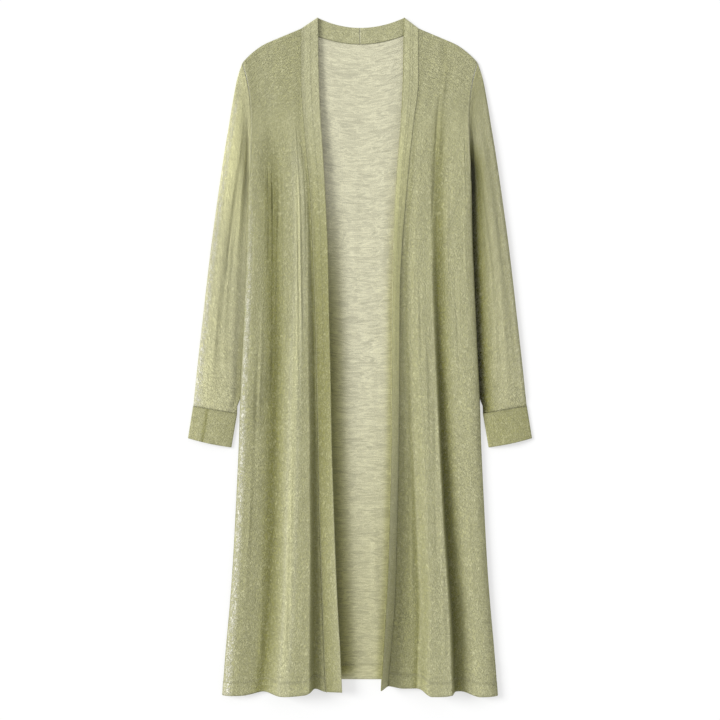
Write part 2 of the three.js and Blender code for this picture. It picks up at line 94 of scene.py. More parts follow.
cut = {
    "knitThick": 0.8,
    "doubleThick": 1.3,
    "seamGap": 0.05,
    "lying": 2.2,          # height of the middle of a front that lies on the back
    "armholeGap": -0.6,
    "backHemUp": 29.7,
    "hemDeep": 23,
    "shoulderHalf": 193,
    "shoulderUp": 1046,
    "neckHalf": 96.5,
    "neckUp": 1102,
    "bandTipUp": 1120,
    "neckDrop": 25.4,
    "bandDrop": 16.4,
    "shoulderSlope": 0.42,
    "shoulderRound": 15,
    "shoulderRoundWide": 43,
    "bandTurn": 5,
    "armpitUp": 853,
    "sleeveFlat": 2.5,
    "sleevePuff": 8.5,
    "puffClear": 6,
    "tuckLift": 4.3,
    "tuckMargin": 14,
    "tuckRamp": 34,
    "tuckZone": (425, 950),
    "tuckEnds": 45,
    "sewnFrom": (850, 40),     # the front's side edge rises to the sleeve here, over this length
    "sewnTo": (1030, 16),
    "sewnHigh": 0.85,          # its height there, as a share of the side fold
    "cuffEase": 4.5,
}

sideRows = table(
    "up half",
    (0, 227), (78, 221), (160, 213.7), (226, 209), (325, 203.8), (411, 199.7), (500, 196.4),
    (587, 192.2), (677, 188.1), (764, 184.8), (853, 183.2), (902, 180.6), (944, 179.6),
    (980, 180.8), (1012, 184.8), (1046, 193),
)
tuckRows = table(
    "up tuck",
    (480, 0), (515, 12), (590, 29), (655, 38), (715, 40), (765, 30), (815, 14), (850, 0),
)
sleeveEdgeRows = table(
    "up half",
    (480, 274.5), (556, 266.5), (622, 259), (688, 251.6), (754, 243.6), (820, 234.5),
    (899, 223), (944, 215.5), (982, 209.3), (1020, 202), (1046, 193.7),
)
cuffSeam = {"outer": (274.5, 480), "inner": (203, 468)}
cuffEnd = {"outer": (283, 427), "inner": (212.6, 412)}

rightEdges = table(
    "up seam edge",
    (0, 55.3, 28.7), (83, 59.5, 32.5), (154, 62, 36.6), (254, 65.4, 40.9), (338, 67.8, 43.7),
    (424, 68.8, 46.3), (523, 71, 48), (622, 73.4, 50.2), (721, 77, 52.2), (820, 81, 56.4),
    (906, 88.5, 61.4), (964, 93.6, 65.2), (1020, 96.6, 67.7), (1120, 96.5, 69.3),
)
leftEdges = table(
    "up seam edge",
    (0, 43.5, 33.2), (69, 49.5, 37), (158, 57, 42.2), (220, 58.9, 45.3), (307, 61.2, 48),
    (424, 63.5, 50.9), (556, 64.6, 52), (660, 65.2, 52.8), (753, 69.6, 54.9), (820, 75.4, 57.2),
    (888, 81.5, 62), (944, 88, 66.7), (1020, 96.6, 70.5), (1120, 96.5, 72.3),
)

# Folds across a front, from the side fold (0) to the band seam (1), as places and heights
foldNames = "up rollAt roll gullyAt gully riseAt rise fallAt fall dipAt dip seam edge"
rightFolds = table(
    foldNames,
    (0, 0.10, 10, 0.36, 3, 0.56, 27, 0.84, 27, 0.885, 10, 12, 15),
    (127, 0.10, 10, 0.41, 3, 0.61, 25, 0.865, 25, 0.91, 9, 11, 17),
    (325, 0.10, 9, 0.43, 3, 0.65, 20, 0.89, 19, 0.945, 7, 9, 18),
    (523, 0.10, 8, 0.44, 2.5, 0.69, 15, 0.885, 13, 0.96, 5, 6.5, 18),
    (754, 0.09, 6, 0.39, 2.5, 0.78, 9.5, 0.90, 8.5, 0.975, 4.5, 5, 14),
    (870, 0.08, 4, 0.38, 2, 0.78, 5.5, 0.89, 5.5, 0.965, 4, 4.5, 10),
    (1000, 0.08, 2, 0.38, 1.5, 0.72, 2.4, 0.84, 2.4, 0.95, 2, 2.5, 6),
    (1120, 0.08, 1, 0.38, 1, 0.70, 1.5, 0.84, 1.5, 0.95, 1.5, 1.5, 3),
)
leftFolds = table(
    foldNames,
    (0, 0.14, 13, 0.38, 3, 0.42, 27, 0.63, 29, 0.74, 5, 4, 30),
    (127, 0.13, 12, 0.395, 3, 0.435, 25, 0.62, 27, 0.75, 5, 4, 28),
    (325, 0.12, 10, 0.45, 3, 0.49, 18, 0.66, 19, 0.81, 5, 4, 25),
    (523, 0.12, 8, 0.49, 3, 0.54, 13, 0.72, 14, 0.88, 5, 4, 22),
    (754, 0.10, 6, 0.50, 3, 0.60, 8.5, 0.76, 9, 0.93, 5, 4, 17),
    (870, 0.08, 4, 0.53, 2.5, 0.66, 5, 0.78, 5.5, 0.94, 4, 4, 12),
    (1000, 0.08, 2, 0.53, 1.5, 0.68, 2.4, 0.80, 2.4, 0.95, 2, 2.5, 6),
    (1120, 0.08, 1, 0.53, 1, 0.68, 1.5, 0.80, 1.5, 0.95, 1.5, 1.5, 3),
)

# Painted shade over the folds: how much darker the gullies, dips, strip and band are painted and how much
# lighter the crests (a painted highlight), partly the denser look of layered sheer cloth; strengths, and
# widths in millimetres
paintedShadeNames = "up gully wide inward dip narrow strip crest bandSeam bandEdge"
rightPaintedShade = table(
    paintedShadeNames,
    (0, 0.60, 10, 12, 0.45, 11, 0.05, 0.25, 0.46, 0.06),
    (160, 0.68, 10, 13, 0.50, 10, 0.05, 0.40, 0.46, 0.06),
    (300, 0.70, 12, 12, 0.50, 8, 0.05, 0.42, 0.57, 0.17),
    (457, 0.74, 12, 11, 0.55, 6, 0.1, 0.34, 0.78, 0.37),
    (655, 0.70, 12, 12, 0.50, 4, 0.0, 0.34, 0.58, 0.44),
    (820, 0.50, 13, 13, 0.25, 4, 0.0, 0.34, 0.28, 0.20),
    (900, 0.10, 14, 14, 0.08, 4, 0.0, 0.12, 0.10, 0.06),
    (980, -0.05, 14, 14, 0.03, 3, 0.0, 0.00, 0.00, -0.02),
)
leftPaintedShade = table(
    paintedShadeNames,
    (0, 0.80, 15, 3, 0.50, 6, 0.10, 0.03, 0.20, 0.05),
    (160, 1.00, 15, 3, 0.45, 6, 0.22, 0.03, 0.20, 0.05),
    (300, 1.12, 14, 3, 0.40, 5, 0.22, 0.03, 0.05, -0.08),
    (457, 1.05, 13, 3, 0.20, 4, 0.10, 0.03, -0.20, -0.28),
    (655, 0.88, 12, 5, 0.15, 4, 0.05, 0.0, -0.42, -0.55),
    (820, 0.45, 10, 8, 0.15, 4, 0.00, 0.0, -0.38, -0.50),
    (900, 0.35, 10, 8, 0.08, 3, 0.00, 0.0, -0.28, -0.38),
    (980, 0.05, 8, 8, 0.03, 3, 0.00, 0.0, -0.10, -0.15),
)
rightHem = table(
    "at up",
    (0, 4.6), (0.2, 4.7), (0.27, 6.4), (0.42, 11.3), (0.6, 7), (0.8, 9.7), (0.9, 16.7),
    (1, 12), (2, 11.5),
)
leftHem = table(
    "at up",
    (0, 3.8), (0.16, 3.4), (0.33, 11.2), (0.5, 7.3), (0.6, 7.5), (0.7, 16.2), (0.85, 15.6),
    (1, 19.4), (2, 17.4),
)
sleeveFolds = table(
    "at high",
    (0, 0), (0.12, 0.6), (0.4, 1), (0.7, 0.66), (0.86, 0.5), (1, 0),
)

# Soft lengthwise creases: at is the place across, lean how far it shifts towards its top end
creaseNames = "at lean low top wide high"
rightCreases = table(
    creaseNames,
    (0.32, 0.00, 690, 905, 1.5, -0.45), (0.36, 0.01, 700, 895, 1.4, 0.4),
    (0.40, -0.01, 690, 880, 1.6, -0.5), (0.44, 0.00, 600, 860, 1.8, 0.4),
    (0.48, 0.00, 720, 900, 1.4, -0.35), (0.26, 0.01, 740, 900, 1.5, 0.3),
    (0.40, 0.00, 480, 700, 3.0, -0.5), (0.52, 0.01, 620, 900, 1.6, 0.35),
    (0.20, 0.03, 300, 620, 4.0, -0.8), (0.16, 0.02, 90, 420, 3.4, 0.6),
    (0.26, -0.02, 420, 700, 3.2, 0.6), (0.47, 0.04, 180, 470, 4.2, -0.9),
    (0.55, 0.03, 330, 640, 3.0, 0.7), (0.60, 0.05, 40, 330, 2.6, 0.8),
    (0.66, 0.02, 120, 420, 2.2, 0.7), (0.745, 0.02, 430, 900, 1.7, 0.7),
    (0.805, 0.015, 470, 1010, 1.9, 1.0), (0.90, 0.02, 640, 980, 2.0, -0.6),
    (0.36, -0.03, 30, 240, 3.4, 0.6), (0.08, 0.01, 500, 800, 2.4, -0.5),
)
leftCreases = table(
    creaseNames,
    (0.50, 0.03, 860, 1060, 5.0, 0.8), (0.58, 0.01, 760, 1010, 3.2, -0.8),
    (0.36, 0.02, 600, 900, 4.0, 0.5), (0.24, 0.02, 430, 760, 3.6, -0.5),
    (0.18, 0.00, 120, 400, 3.2, 0.5), (0.30, -0.02, 80, 300, 3.4, -0.6),
    (0.48, 0.03, 30, 330, 3.0, 0.6), (0.55, 0.02, 200, 520, 3.4, -0.6),
    (0.64, 0.04, 320, 640, 3.0, 0.6), (0.72, 0.02, 420, 760, 2.8, -0.6),
    (0.82, 0.02, 130, 360, 2.6, 0.7), (0.86, -0.01, 240, 560, 2.4, -0.6),
    (0.80, 0.03, 600, 900, 3.0, 0.5), (0.10, 0.02, 640, 960, 2.6, 0.5),
)
sleeveCreases = table(
    creaseNames,
    (0.78, -0.03, 0.36, 0.80, 2.2, -0.8), (0.70, 0.02, 0.50, 0.92, 2.4, 0.7),
    (0.60, 0.04, 0.20, 0.62, 2.6, -0.6), (0.45, 0.02, 0.55, 0.95, 3.0, 0.5),
    (0.25, 0.03, 0.30, 0.75, 3.0, -0.4), (0.86, 0.00, 0.15, 0.52, 2.0, 0.6),
    (0.52, -0.02, 0.05, 0.40, 2.4, 0.5), (0.34, 0.01, 0.68, 0.98, 2.4, -0.5),
)
backCreases = table(
    creaseNames,
    (0.43, 0.00, 60, 420, 7, 0.7), (0.52, 0.02, 180, 640, 8, -0.5), (0.57, -0.01, 40, 300, 6, 0.6),
    (0.47, 0.01, 520, 900, 8, 0.4), (0.40, 0.02, 420, 720, 7, -0.4), (0.60, 0.01, 640, 960, 7, 0.4),
)

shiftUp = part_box("back_panel")[0][1] * 1000 - cut["backHemUp"]


def halfWidth(up):
    return trace(sideRows, "half", np.minimum(up, cut["shoulderUp"]))


# How far a tucked sleeve lifts the side of the body, inward being the way in from the side fold
def liftAt(up, inward):
    low, top = cut["tuckZone"]
    inZone = ease((up - low) / cut["tuckEnds"]) * ease((top - up) / cut["tuckEnds"])
    reach = trace(tuckRows, "tuck", up) + cut["tuckMargin"] + cut["tuckRamp"]
    return cut["tuckLift"] * inZone * ease((reach - inward) / cut["tuckRamp"])


def shoulderLine(half):
    wide = cut["shoulderRoundWide"]
    drop = cut["shoulderRound"] * np.maximum(0, (half - (cut["shoulderHalf"] - wide)) / wide) ** 2
    return cut["neckUp"] - cut["shoulderSlope"] * (half - cut["neckHalf"]) - drop


# Height across a panel that passes through points of place and height, rising steeply at its side
def heightBetween(points, share):
    high = np.zeros(np.shape(share))
    for i, ((a, zA), (b, zB)) in enumerate(zip(points, points[1:])):
        t = np.clip((share - a) / (b - a), 0, 1)
        part = rounded(t) if i == 0 else ease(t)
        high = np.where(share >= a, mix(zA, zB, part), high)
    return high


creaseValues = {"strength": 1.9, "wander": 0.006, "narrow": 0.85, "widen": 0.3, "ends": 0.3,
                "least": 0.75}


# Soft uneven ridges and troughs, clothWide being the cloth's width in millimetres
def creaseHeight(rows, share, along, clothWide):
    values = creaseValues
    high = np.zeros(np.broadcast(share, along).shape)
    for i in range(len(rows["at"])):
        low, top = rows["low"][i], rows["top"][i]
        t = (along - low) / (top - low)
        middle = rows["at"][i] + rows["lean"][i] * t + values["wander"] * np.sin(t * 5 + i)
        wide = rows["wide"][i] * (values["narrow"] + values["widen"] * np.sin(t * 7 + 2 * i) ** 2)
        ends = ease(t / values["ends"]) * ease((1 - t) / values["ends"])
        uneven = mix(values["least"], 1, np.sin(9 * t + i))
        ridge = bell((share - middle) * clothWide, wide)
        high = high + values["strength"] * rows["high"][i] * ends * uneven * ridge
    return high


frontValues = {
    "rows": 290,
    "columns": 92,
    "sideColumns": 14,         # finer columns over the side fold
    "sidePart": 0.12,
    "turnRows": (0.6, 0.3, 0.13, 0.04, 0),
    "clothWide": 150,
    "bandBow": 0.4,
    "overHem": 0.8,            # how far the back's hem lifts the front
    "ripple": 0.35,
    "hemLine": 1.3,
    "seamLine": 1.6,
    "glintAt": 0.045,
    "glintWide": 5.5,
    "glintBelow": (900, 300),
    "crossFrom": (900, 90),
}


def frontHeight(folds, up, share):
    def at(column):
        return trace(folds, column, up)

    (low, ramp), (top, end) = cut["sewnFrom"], cut["sewnTo"]
    sewn = cut["sewnHigh"] * ease((up - low) / ramp) * (1 - ease((up - top) / end))
    points = [(np.zeros_like(up), at("roll") * sewn)]
    points += [(at(name + "At"), at(name)) for name in ("roll", "gully", "rise", "fall", "dip")]
    points.append((np.ones_like(up), at("seam")))
    onFront = heightBetween(points, np.minimum(share, 1))
    bend = mix(share - 1, np.sin((share - 1) * math.pi / 2), frontValues["bandBow"])
    return np.where(share <= 1, onFront, mix(at("seam"), at("edge"), bend))


# Points of one front and its band as one sheet: share 0 side fold, 1 band seam, 2 free edge
def frontPoints(half, share, rise):
    values = frontValues
    onFront, onBand = np.minimum(share, 1), np.maximum(share - 1, 0)
    topHalf = mix(cut["shoulderHalf"], cut["neckHalf"], onFront)
    top = np.where(share <= 1, shoulderLine(topHalf), mix(cut["neckUp"], cut["bandTipUp"], onBand))
    up = mix(trace(half["hem"], "up", share, "at"), top, rise)
    seam, edge = trace(half["edges"], "seam", up), trace(half["edges"], "edge", up)
    wide = np.where(share <= 1, mix(halfWidth(up), seam, onFront), mix(seam, edge, onBand))
    toTop = rounded((top - up) / cut["bandTurn"])
    lift = liftAt(up, np.maximum(0, halfWidth(up) - wide))
    overHem = values["overHem"] * (1 - ease((up - cut["backHemUp"] - cut["hemDeep"]) / 15))
    fade = ease(share / 0.06) * ease((1 - share) / 0.05) * ease((up - 40) / 40)
    ripple = values["ripple"] * np.sin(up / 21 + 2 * share) * np.sin(share * 23 + up / 60)
    crease = creaseHeight(half["creases"], share, up, values["clothWide"])
    high = frontHeight(half["folds"], up, share) + (crease + ripple) * fade
    z = cut["lying"] + overHem + lift + np.maximum(high, -0.3) * toTop
    return np.stack([half["side"] * wide, up, z], -1), up


def normalsOf(grid, closed=False):
    if closed:
        across = np.roll(grid, -1, axis=1) - np.roll(grid, 1, axis=1)
    else:
        across = np.gradient(grid, axis=1)
    normal = np.cross(across, np.gradient(grid, axis=0))
    return normal / np.maximum(np.linalg.norm(normal, axis=-1, keepdims=True), 1e-9)


paintedShadeValues = {"beforeDip": 2.5, "crestWide": 9, "steep": 0.25}


# Painted shade over a front and its band: darker at the foot of a fold, where light is shut out and the
# layers lie close,
#  lighter on the crests as a painted highlight, and denser where the sheer cloth is seen edge-on
def paintedShading(half, share, up, normalZ):
    def at(rows, column):
        return trace(rows, column, up)

    folds, paintedShades = half["folds"], half["paintedShades"]
    wide = halfWidth(up) - trace(half["edges"], "seam", up)
    fromGully = (share - at(folds, "gullyAt")) * wide
    reach = np.where(fromGully > 0, at(paintedShades, "inward"), at(paintedShades, "wide"))
    gully = at(paintedShades, "gully") * bell(fromGully, reach)
    pastDip = share - at(folds, "dipAt")
    reach = np.where(pastDip > 0, at(paintedShades, "narrow"), paintedShadeValues["beforeDip"])
    dip = at(paintedShades, "dip") * bell(pastDip * wide, reach)
    strip = at(paintedShades, "strip") * ease(pastDip / 0.08)
    fromCrest = (share - at(folds, "riseAt") - 0.02) * wide
    crest = at(paintedShades, "crest") * bell(fromCrest, paintedShadeValues["crestWide"])
    steep = paintedShadeValues["steep"] * np.clip(1 / np.maximum(normalZ, 0.3) - 1, 0, 1.2)
    onFront = half["baseShade"] * ease(share / 0.05) + gully + dip + strip - crest + steep
    onBand = mix(at(paintedShades, "bandSeam"), at(paintedShades, "bandEdge"), np.clip(share - 1, 0, 1))
    return np.where(share > 1.0001, onBand, onFront)


def addObject(name, data):
    made = bpy.data.objects.new(name, data)
    bpy.context.scene.collection.objects.link(made)
    return made


def arcLength(grid, axis):
    step = np.linalg.norm(np.diff(grid, axis=axis), axis=-1)
    start = np.zeros((grid.shape[0], 1)) if axis == 1 else np.zeros((1, grid.shape[1]))
    return np.concatenate([start, np.cumsum(step, axis=axis)], axis=axis)


# A closed shell round a grid of points, with UVs in metres along the cloth and named marks
def shell(name, grid, thick, marks, closed=False, normal=None):
    rows, columns = grid.shape[:2]
    normal = normalsOf(grid, closed) if normal is None else normal
    half = (np.broadcast_to(thick, (rows, columns)) / 2)[..., None]
    outer, inner = grid + normal * half, grid - normal * half
    count = rows * columns
    index = np.arange(count).reshape(rows, columns)
    left = index if closed else index[:, :-1]
    right = np.roll(index, -1, axis=1) if closed else index[:, 1:]
    skin = np.stack([left[:-1], right[:-1], right[1:], left[1:]], -1).reshape(-1, 4)
    rims = [
        np.stack([right[0], left[0], left[0] + count, right[0] + count], -1),
        np.stack([left[-1], right[-1], right[-1] + count, left[-1] + count], -1),
    ]
    if not closed:
        a, b = index[:, 0], index[:, -1]
        rims.append(np.stack([a[:-1], a[1:], a[1:] + count, a[:-1] + count], -1))
        rims.append(np.stack([b[1:], b[:-1], b[:-1] + count, b[1:] + count], -1))
    rim = np.concatenate(rims)
    faces = np.concatenate([skin, skin[:, ::-1] + count, rim])
    points = np.concatenate([outer.reshape(-1, 3), inner.reshape(-1, 3)])
    corners = points[faces]
    parts = np.cross(corners[:, 1] - corners[:, 0], corners[:, 2] - corners[:, 0])
    parts = parts + np.cross(corners[:, 2] - corners[:, 0], corners[:, 3] - corners[:, 0])
    if np.sum(parts * corners.mean(axis=1)) < 0:
        faces = faces[:, ::-1]
    mesh = bpy.data.meshes.new(name)
    mesh.from_pydata(((points + (0, shiftUp, 0)) / 1000).tolist(), [], faces.tolist())
    mesh.polygons.foreach_set("use_smooth", np.arange(len(faces)) < 2 * len(skin))

    ring = np.concatenate([grid, grid[:, :1]], axis=1) if closed else grid
    u = arcLength(ring, 1)
    if not closed:
        u = u - u.mean(axis=1, keepdims=True)
    v = arcLength(ring, 0).mean(axis=1, keepdims=True) + 0 * u
    uv = np.stack([u, v], -1) / 1000
    vertex = np.empty(len(mesh.loops), int)
    mesh.loops.foreach_get("vertex_index", vertex)
    row, column = (vertex % count) // columns, vertex % count % columns
    if closed:
        quad = column.reshape(-1, 4)
        wraps = (quad.max(axis=1) - quad.min(axis=1)) > columns // 2
        column = np.where(wraps[:, None] & (quad == 0), columns, quad).ravel()
    layer = mesh.uv_layers.new(name="cloth")
    layer.data.foreach_set("uv", uv[row, column].ravel())
    for mark, values in marks.items():
        both = np.tile(np.broadcast_to(values, (rows, columns)).ravel(), 2)
        mesh.attributes.new(mark, "FLOAT", "POINT").data.foreach_set("value", both)
    mesh.validate()
    top = np.where(normal[..., 2:] >= 0, outer, inner)
    return addObject(name, mesh), top


# Materials: one shared group for the knit, one for the sewing thread

def newGroup(name, inputs, outputs):
    tree = bpy.data.node_groups.new(name, "ShaderNodeTree")
    for socket, kind, value in inputs:
        made = tree.interface.new_socket(name=socket, in_out="INPUT", socket_type=kind)
        if value is not None:
            made.default_value = value
    for socket, kind in outputs:
        tree.interface.new_socket(name=socket, in_out="OUTPUT", socket_type=kind)
    return tree, tree.nodes.new("NodeGroupInput").outputs, tree.nodes.new("NodeGroupOutput").inputs


def newMaterial(name):
    material = bpy.data.materials.new(name)
    material.use_nodes = True
    return material, material.node_tree, material.node_tree.nodes["Principled BSDF"]


def plug(tree, socket, value):
    if isinstance(value, bpy.types.NodeSocket):
        tree.links.new(value, socket)
    else:
        socket.default_value = value


def calculate(tree, operation, a, b=0.0, clamp=False):
    node = tree.nodes.new("ShaderNodeMath")
    node.operation = operation
    node.use_clamp = clamp
    plug(tree, node.inputs[0], a)
    plug(tree, node.inputs[1], b)
    return node.outputs[0]


def noise(tree, place, scale, size, detail=2.0, rough=0.5, warp=0.0):
    mapping = tree.nodes.new("ShaderNodeMapping")
    mapping.inputs["Scale"].default_value = scale
    plug(tree, mapping.inputs["Vector"], place)
    node = tree.nodes.new("ShaderNodeTexNoise")
    node.inputs["Scale"].default_value = size
    node.inputs["Detail"].default_value = detail
    node.inputs["Roughness"].default_value = rough
    node.inputs["Distortion"].default_value = warp
    tree.links.new(mapping.outputs[0], node.inputs["Vector"])
    return node.outputs["Fac"]


def spread(tree, value, low, high):
    node = tree.nodes.new("ShaderNodeMapRange")
    plug(tree, node.inputs["Value"], value)
    node.inputs["From Min"].default_value = low
    node.inputs["From Max"].default_value = high
    return node.outputs[0]


# Fine wandering ridges: 1 along a ridge, 0 away from it
def ridgesOf(tree, place, stretch, size):
    off = calculate(tree, "SUBTRACT", noise(tree, place, stretch, size, 1, 0.5, 1.4), 0.5)
    return spread(tree, calculate(tree, "ABSOLUTE", off), 0.11, 0.0)


# Scales are stretches of a pattern across and along the cloth, the rest are its shares and tones
knitValues = {
    "slubScale": (26, 430, 1),
    "waleScale": (300, 11, 1),
    "crinkleScale": (28, 130, 1),
    "crinkle": 0.5,
    "hollow": 0.25,
    "ridgeScales": ((0.8, 0.55, 1), (0.5, 0.95, 1)),
    "ridgeSize": 330,
    "crepe": 0.38,
    "crepeGlint": 0.25,
    "mottleSize": 60,
    "mottle": 0.07,
    "grainSize": 640,
    "grain": 0.22,
    "doubleShade": 0.04,
    "seamShade": 0.21,
    "shadeLeft": 0.37,          # the share of colour left where the painted shade is full
    "shadeLeftBlue": 0.45,
    "glintColour": (0.86, 0.845, 0.73, 1),
    "relief": 0.0020,
}


def knitGroup():
    numbers = {"Slub": 0.3, "Wale": 0.15, "Crepe": 0.25, "Cover": 0.85, "Double": 0.0, "Turn": 0.0,
               "Seam": 0.0, "Paintedshade": 0.0, "Cross": 0.0, "Wrinkle": 0.0}
    inputs = [("Place", "NodeSocketVector", None), ("Tint", "NodeSocketColor", (0.5, 0.5, 0.3, 1))]
    inputs += [(name, "NodeSocketFloat", value) for name, value in numbers.items()]
    outputs = [("Color", "NodeSocketColor")]
    outputs += [(name, "NodeSocketFloat") for name in ("Alpha", "Roughness", "Height")]
    tree, given, made = newGroup("knitLook", inputs, outputs)
    place, values, even = given["Place"], knitValues, (1, 1, 1)

    def plus(a, b, clamp=False):
        return calculate(tree, "ADD", a, b, clamp)

    def minus(a, b, clamp=False):
        return calculate(tree, "SUBTRACT", a, b, clamp)

    def times(a, b):
        return calculate(tree, "MULTIPLY", a, b)

    def vectors(operation, a, socket, b):
        node = tree.nodes.new("ShaderNodeVectorMath")
        node.operation = operation
        plug(tree, node.inputs[0], a)
        plug(tree, node.inputs[socket], b)
        return node.outputs[0]

    def around(mask, strength):
        return times(minus(mask, 0.5), strength)

    def pattern(scale, size, detail, rough, warp=0.0):
        return spread(tree, noise(tree, place, scale, size, detail, rough, warp), 0.30, 0.70)

    slub = pattern(values["slubScale"], 1.0, 4, 0.62, 0.4)
    wale = pattern(values["waleScale"], 1.0, 3, 0.55)
    mottle = pattern(even, values["mottleSize"], 3, 0.6)
    grain = pattern(even, values["grainSize"], 2, 0.6)

    # Pale crinkles that run across, with soft hollows between them; in the colour the crests are a painted
    # highlight and the hollows painted shade, beside the bump
    waves = noise(tree, place, values["crinkleScale"], 1.0, 1.6, 0.5, 1.6)
    crinkle = spread(tree, calculate(tree, "ABSOLUTE", minus(waves, 0.5)), 0.10, 0.0)
    crinkle = times(minus(crinkle, 0.42), values["crinkle"])
    puckers = minus(crinkle, times(spread(tree, waves, 0.47, 0.25), values["hollow"]))

    # The crepe's ridges run along the cloth, or across it where Cross is 1
    ridges = [ridgesOf(tree, place, scale, values["ridgeSize"]) for scale in values["ridgeScales"]]
    choice = tree.nodes.new("ShaderNodeMix")
    for socket, value in zip((0, 2, 3), (given["Cross"], *ridges)):
        plug(tree, choice.inputs[socket], value)
    crepe = choice.outputs[0]

    value = plus(around(slub, given["Slub"]), 1.0)
    value = plus(value, around(wale, given["Wale"]))
    value = plus(value, times(around(crepe, given["Crepe"]), values["crepe"]))
    value = plus(value, around(mottle, values["mottle"]))
    value = plus(value, times(puckers, given["Wrinkle"]))
    value = plus(value, around(grain, values["grain"]))
    value = minus(value, times(given["Double"], values["doubleShade"]))
    value = minus(value, times(given["Seam"], values["seamShade"]))
    shade = vectors("SCALE", given["Tint"], "Scale", value)

    # Painted shade: the colour is darkened by the painted shade mark, and greener because less blue is left;
    # negative values paint light
    left = calculate(tree, "POWER", values["shadeLeft"], given["Paintedshade"])
    tinged = calculate(tree, "MAXIMUM", given["Paintedshade"], times(given["Paintedshade"], -0.35))
    leftBlue = times(left, calculate(tree, "POWER", values["shadeLeftBlue"], tinged))
    fade = tree.nodes.new("ShaderNodeCombineXYZ")
    for socket, value in enumerate((left, left, leftBlue)):
        plug(tree, fade.inputs[socket], value)
    shadedColour = vectors("MULTIPLY", shade, 1, fade.outputs[0])

    # Painted highlight: the colour is mixed towards a pale glint along a side fold where Turn is set, and on
    # the crepe's ridges
    glint = times(plus(times(crepe, 0.85), 0.08), given["Turn"])
    glint = plus(glint, times(times(crepe, given["Crepe"]), values["crepeGlint"]), True)
    glintColour = tree.nodes.new("ShaderNodeMix")
    glintColour.data_type = "RGBA"
    for socket, value in zip((0, 6, 7), (glint, shadedColour, values["glintColour"])):
        plug(tree, glintColour.inputs[socket], value)
    plug(tree, made["Color"], glintColour.outputs[2])

    # The sheer cloth has small holes where both the slubs and the grain are thin
    thin = plus(minus(1.0, slub), minus(1.0, grain))
    holes = times(times(minus(1.0, given["Cover"]), thin), minus(1.0, given["Double"]))
    plug(tree, made["Alpha"], minus(1.0, holes, True))
    plug(tree, made["Roughness"], plus(times(grain, -0.08), 0.95))
    height = plus(times(slub, given["Slub"]), times(crepe, given["Crepe"]))
    height = plus(height, times(grain, 0.22))
    height = plus(height, times(wale, given["Wale"]))
    plug(tree, made["Height"], plus(height, times(puckers, given["Wrinkle"])))
    return tree


knitTree = knitGroup()


def knitMaterial(name, tint, bump, **numbers):
    material, tree, shader = newMaterial(name)
    knit = tree.nodes.new("ShaderNodeGroup")
    knit.node_tree = knitTree
    place = tree.nodes.new("ShaderNodeUVMap")
    place.uv_map = "cloth"
    tree.links.new(place.outputs[0], knit.inputs["Place"])
    knit.inputs["Tint"].default_value = (*tint, 1)
    for socket, value in numbers.items():
        knit.inputs[socket.title()].default_value = value
    # The marks carry the painted shade, which darkens folds, crevices and shadowed places, and the painted
    # highlight of glints along side folds
    for mark in ("double", "turn", "seam", "paintedShade", "cross"):
        node = tree.nodes.new("ShaderNodeAttribute")
        node.attribute_name = mark
        tree.links.new(node.outputs["Fac"], knit.inputs[mark.title()])
    for socket, target in (("Color", "Base Color"), ("Alpha", "Alpha"), ("Roughness", "Roughness")):
        tree.links.new(knit.outputs[socket], shader.inputs[target])
    relief = tree.nodes.new("ShaderNodeBump")
    relief.inputs["Strength"].default_value = bump
    relief.inputs["Distance"].default_value = knitValues["relief"]
    tree.links.new(knit.outputs["Height"], relief.inputs["Height"])
    tree.links.new(relief.outputs[0], shader.inputs["Normal"])
    shader.inputs["Specular IOR Level"].default_value = 0.15
    shader.inputs["Sheen Weight"].default_value = 0.08
    shader.inputs["Sheen Roughness"].default_value = 0.6
    return material


looks = {
    "back": {"tint": (0.640, 0.621, 0.443), "bump": 0.65, "slub": 0.10, "wale": 0.03,
             "crepe": 0.08, "wrinkle": 0.42, "cover": 0.86},
    "front": {"tint": (0.541, 0.533, 0.311), "bump": 1.0, "slub": 0.05, "wale": 0.05,
              "crepe": 0.50, "wrinkle": 0.03, "cover": 0.92},
    "sleeve": {"tint": (0.572, 0.560, 0.331), "bump": 1.0, "slub": 0.05, "wale": 0.05,
               "crepe": 0.50, "wrinkle": 0.0, "cover": 0.90},
    "double": {"tint": (0.502, 0.494, 0.285), "bump": 0.9, "slub": 0.05, "wale": 0.05,
               "crepe": 0.44, "wrinkle": 0.0, "cover": 0.96},
}
materials = {name: knitMaterial(name + "Knit", **values) for name, values in looks.items()}


def finishPiece(piece, node, look):
    piece.data.materials.append(materials[look])
    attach(piece, "root")
    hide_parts(node)


# The pieces

stitchPaths = []


# Rows of a panel from its hem (0) to its top (1), two of them close together at the hem's inner edge
def hemRows(rows, hemRise):
    return np.unique(np.concatenate([rows, [hemRise - 0.0004, hemRise + 0.0008]]))[:, None]


def nearestRow(rise, at):
    return int(np.argmin(np.abs(rise[:, 0] - at)))


backValues = {
    "columns": 112,
    "rows": 250,
    "creaseWide": 420,
    "ripple": 0.35,
    "rippleLong": 6.5,
    "shownHalf": 62,           # creases and ripples lie between the fronts, this far from the middle
    # Painted shade on the back: towards the hem, and the strength and width of the painted shadow beside each
    # band
    "lowShade": 0.2,
    "shadowBesideRight": (0.85, 17),
    "shadowBesideLeft": (0.35, 7),
    "hemLine": 1.2,
}


